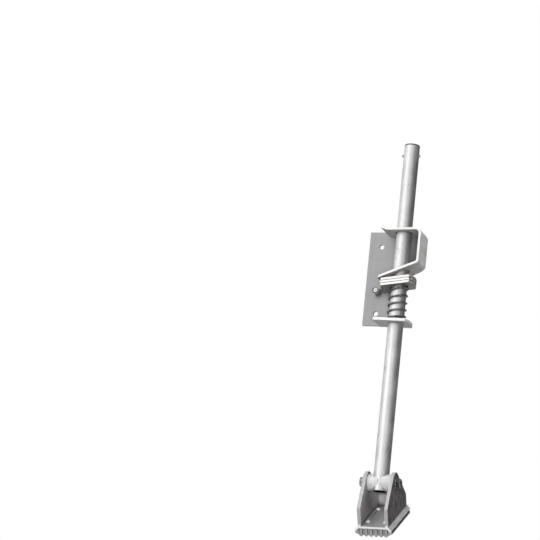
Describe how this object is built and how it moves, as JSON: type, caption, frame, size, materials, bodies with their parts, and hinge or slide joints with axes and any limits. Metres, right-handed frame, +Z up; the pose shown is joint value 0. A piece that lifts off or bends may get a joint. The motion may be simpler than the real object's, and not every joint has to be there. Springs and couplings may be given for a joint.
{
  "type": "ladder leg extension",
  "caption": "Round ladder leg that slides through a rail bracket, held by spring-loaded canted locking plates, with a swivelling rubber-soled shoe on a cross bolt.",
  "frame": {"origin": "middle of the back plate's line of mounting holes, on the face that lies against the ladder rail's flange", "axes": "+Z up along the leg towards the top of the ladder, X along the shoe's pivot and outward from the rail, Y out of the back of the plate, away from the guard"},
  "size_m": [0.0865, 0.1025, 0.576],
  "materials": {
    "plate": "rolled, dull",
    "strip": "zinc plated, satin",
    "weld": "as welded or pressed",
    "bolt": "zinc plated",
    "nut": "blackened, oiled",
    "spring": "oiled spring wire",
    "tube": "drawn, satin",
    "plug": "moulded",
    "nylon": "moulded, satin",
    "cast": "as cast, sawn edges",
    "base": "extruded, satin",
    "pad": "ribbed"
  },
  "bodies": {
    "bracket": {"back_plate": "plate", "guard_strip": "strip", "lower_flange": "strip", "bracket_welds": "weld", "plate_bolt": "bolt", "plate_washer": "bolt", "plate_nut": "bolt", "release_spring": "spring"},
    "lock_plates": {"lock_plate_top": "strip", "lock_plate_middle": "strip", "lock_plate_bottom": "strip"},
    "leg": {"leg_tube": "tube", "top_plug": "plug", "stop_pin": "bolt", "left_saddle": "nylon", "right_saddle": "nylon", "pivot_sleeve": "tube", "pivot_bolt": "bolt", "pivot_washers": "bolt", "pivot_nut": "nut"},
    "shoe": {"shoe_cradle": "cast", "shoe_base": "base", "shoe_welds": "weld", "tread_pad": "pad", "pad_rivets": "weld"}
  },
  "joints": [
    {"name": "leg_slide", "type": "slide", "parent": "bracket", "child": "leg", "axis": [0, 0, 1], "range_m": [-0.1108, 0.195]},
    {"name": "shoe_swivel", "type": "hinge", "parent": "leg", "child": "shoe", "pos_m": [0.0375, -0.02, -0.2998], "axis": [1, 0, 0], "range_deg": [-90, 45]},
    {"name": "plate_release", "type": "hinge", "parent": "bracket", "child": "lock_plates", "pos_m": [0.008, -0.02, -0.0078], "axis": [0, 1, 0], "range_deg": [0, 8], "stiffness_Nm_per_rad": 2, "springref_deg": -6.88, "deforming": ["release_spring"]}
  ]
}
